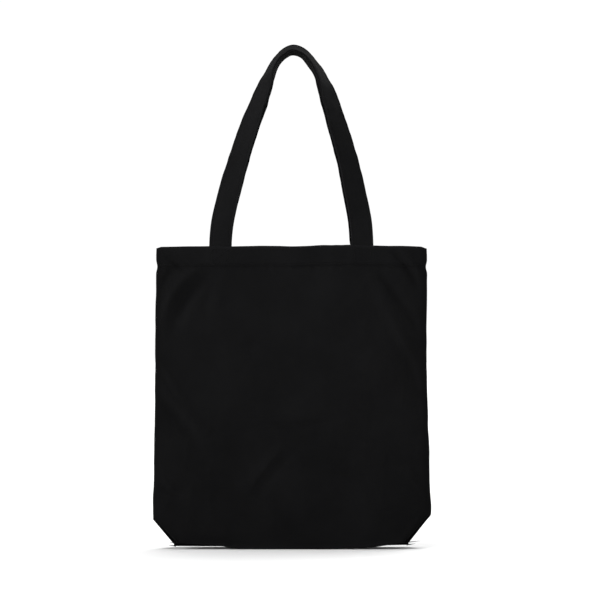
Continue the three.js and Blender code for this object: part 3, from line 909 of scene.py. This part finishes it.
def band(name, line, up, height, node):
    """A narrow band of doubled cloth that stands up from a line."""
    line, up = np.asarray(line, float), unit(np.asarray(up, float))
    side_way = unit(np.cross(np.gradient(line, axis=0), up))
    wave = 0.5 * ripple(np.arange(len(line)) / 5.0, np.arange(len(line)) * 0.0, len(name))
    rings = []
    for a, b in BAND_SECTION:
        rings.append(line + side_way * (a * BAND_THICK + wave[:, None] * b) + up * height * b)
    points = np.stack(rings, axis=1).reshape(-1, 3)
    count = len(BAND_SECTION)
    uvs = np.stack([np.repeat(run_along(line), count), np.tile(BAND_LENGTHS, len(line))], axis=-1)
    obj = make(name, points, tube_faces(len(line), count), uvs, np.tile(BAND_WEAR, len(line)))
    outward(obj)
    obj.data.materials.append(canvas)
    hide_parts(node)
    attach(obj, "base")


OVERLOCK_PITCH = 2.6  # from one loop of the overlock to the next
OVERLOCK_REACH = 3.2  # how far it reaches over the edge
OVERLOCK_DEPTH = 1.5  # how far it stands out to each side
OVERLOCK_RADIUS = 0.28
OVERLOCK_RING = 5  # points round the thread
OVERLOCK_STEPS = 10  # rings in one loop


def overlock(name, line, up, nodes):
    """Overlock thread: loops that wrap the edge of a seam allowance."""
    line, up = np.asarray(line, float), unit(np.asarray(up, float))
    run = run_along(line)
    turns = int(run[-1] / OVERLOCK_PITCH)
    s = np.linspace(0, run[-1], turns * OVERLOCK_STEPS + 1)
    phase = s / OVERLOCK_PITCH * 2 * math.pi
    at = np.stack([np.interp(s, run, line[:, k]) for k in range(3)], axis=-1)
    ways = np.stack([np.interp(s, run, up[:, k]) for k in range(3)], axis=-1)
    side_way = unit(np.cross(np.gradient(at, axis=0), ways))
    half = OVERLOCK_REACH / 2
    over = (-half + half * np.cos(phase))[:, None]
    aside = (OVERLOCK_DEPTH * np.sin(phase))[:, None]
    path = at + ways * over + side_way * aside
    ahead = unit(np.gradient(path, axis=0))
    # any two directions square to the thread; the odd vector is never in line with it
    a = unit(np.cross(ahead, np.array([0.31, 0.52, 0.79])))
    b = np.cross(ahead, a)
    angles = np.linspace(0, 2 * math.pi, OVERLOCK_RING, endpoint=False)
    ring = a[:, None] * np.cos(angles)[:, None] + b[:, None] * np.sin(angles)[:, None]
    points = (path[:, None] + OVERLOCK_RADIUS * ring).reshape(-1, 3)
    faces = tube_faces(len(path), OVERLOCK_RING)
    obj = make(name, points, faces, points[:, [0, 2]], 0.2 * np.ones(len(points)))
    outward(obj)
    obj.data.materials.append(thread_black)
    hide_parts(*nodes)
    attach(obj, "base")


def side_overlock(end, name):
    """The overlock along a side seam's allowance, from above the corner to under the hem."""
    h = np.linspace(56, 378, 120)
    reach = edge_reach(h, end) - 1.0
    line = np.stack([end * (reach - 8.5), seam_sway(h), BASE_Z + h], axis=-1)
    inside = np.tile([-end, 0.0, 0.0], (len(h), 1))
    nodes = [f"{name}_side_overlock", f"{name}_side_seam"]
    overlock(f"{name}_side_overlock_thread", line + inside * 2.2, inside, nodes)


def corner_seam(end, name):
    """The short seam across a bottom corner, which rises to a point where the corner folds."""
    x = -158.0 if end < 0 else 160.0
    foot = 6.5 if end < 0 else 11.5
    chevron = []
    for k in np.linspace(-1, 1, 41):
        chevron.append([x, k * 12.2, BASE_Z + foot + 33 * (1 - abs(k))])
    chevron = np.array(chevron)
    chevron[:, 2] = evened(chevron[:, 2], 4)
    up = np.tile([-end * 0.25, 0, 1.0], (len(chevron), 1))
    band(f"{name}_corner_seam_band", chevron, up, 8, f"{name}_corner_seam")


for end, name in ((-1, "left"), (1, "right")):
    corner = corner_sheet(end)
    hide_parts(f"{name}_corner_fold")
    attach(corner, "base")
    side_overlock(end, name)
    corner_seam(end, name)

x = np.linspace(-152, 154, 150)
line = base_seam(x) + np.array([0, 0, 0.4])
up = np.tile([0, 0, 1.0], (len(x), 1))
band("bottom_seam_band", line, up, 9.5, "bottom_seam")
overlock("bottom_overlock_thread", line + np.array([0, 0, 11.0]), up, ["bottom_overlock"])


# Stage ----------------------------------------------------------------------------------------

FLOOR_Z = BASE_Z - 1
FLOOR_LEFT, FLOOR_RIGHT, FLOOR_FRONT, FLOOR_BACK = -9000, 9000, -6000, 9000
PAPER = 0.74  # how pale the floor is
SKY_STRENGTH = 1.03
# The sky is white at the horizon and darker overhead: the sine of the height, and the brightness.
SKY_WHITE_TO, SKY_DARK_FROM, SKY_DARK = 0.2, 0.5, 0.12
CAMERA_AWAY = 3.0  # metres in front of the bag
VIEW_HALF = 0.42  # half the width of the view, in metres, at that distance
VIEW_MIDDLE = (0.0122, -0.3558)  # metres, x and z

corners = [
    (FLOOR_LEFT, FLOOR_FRONT, FLOOR_Z),
    (FLOOR_RIGHT, FLOOR_FRONT, FLOOR_Z),
    (FLOOR_RIGHT, FLOOR_BACK, FLOOR_Z),
    (FLOOR_LEFT, FLOOR_BACK, FLOOR_Z),
]
floor = make("floor", corners, [(0, 1, 2, 3)])
paper = bpy.data.materials.new("floor_paper")
paper.use_nodes = True
paper_shader = paper.node_tree.nodes["Principled BSDF"]
paper_shader.inputs["Base Color"].default_value = (PAPER, PAPER, PAPER, 1)
paper_shader.inputs["Roughness"].default_value = 0.9
floor.data.materials.append(paper)

scene = bpy.context.scene
scene.view_settings.view_transform = "Standard"
world = bpy.data.worlds.new("studio")
world.use_nodes = True
tree = world.node_tree
sky = tree.nodes["Background"]
direction = tree.nodes.new("ShaderNodeTexCoord")
height = tree.nodes.new("ShaderNodeSeparateXYZ")
glow = tree.nodes.new("ShaderNodeValToRGB")
glow.color_ramp.elements[0].position = SKY_WHITE_TO
glow.color_ramp.elements[0].color = (1, 1, 1, 1)
glow.color_ramp.elements[1].position = SKY_DARK_FROM
glow.color_ramp.elements[1].color = (SKY_DARK, SKY_DARK, SKY_DARK, 1)
tree.links.new(direction.outputs["Generated"], height.inputs[0])
tree.links.new(height.outputs[2], glow.inputs[0])
tree.links.new(glow.outputs[0], sky.inputs[0])
sky.inputs[1].default_value = SKY_STRENGTH
scene.world = world


def sun(name, direction, strength, softness):
    """A broad even light that comes from a direction; softness is its width in degrees."""
    data = bpy.data.lights.new(name, "SUN")
    data.energy = strength
    data.angle = math.radians(softness)
    obj = bpy.data.objects.new(name, data)
    obj.rotation_euler = Vector(direction).to_track_quat("Z", "Y").to_euler()
    scene.collection.objects.link(obj)


sun("key", (-1.3, -0.62, 0.8), strength=2.4, softness=26)
sun("top", (0.04, 0.12, 1.0), strength=3.3, softness=50)
sun("back", (1.2, 0.9, 0.8), strength=1.2, softness=40)

camera = bpy.data.objects.new("camera", bpy.data.cameras.new("camera"))
camera.data.sensor_width = 36
camera.data.lens = camera.data.sensor_width / 2 * CAMERA_AWAY / VIEW_HALF
camera.location = (VIEW_MIDDLE[0], -CAMERA_AWAY, VIEW_MIDDLE[1])
camera.rotation_euler = (math.pi / 2, 0, 0)
camera.data.clip_end = 60
scene.collection.objects.link(camera)
scene.camera = camera
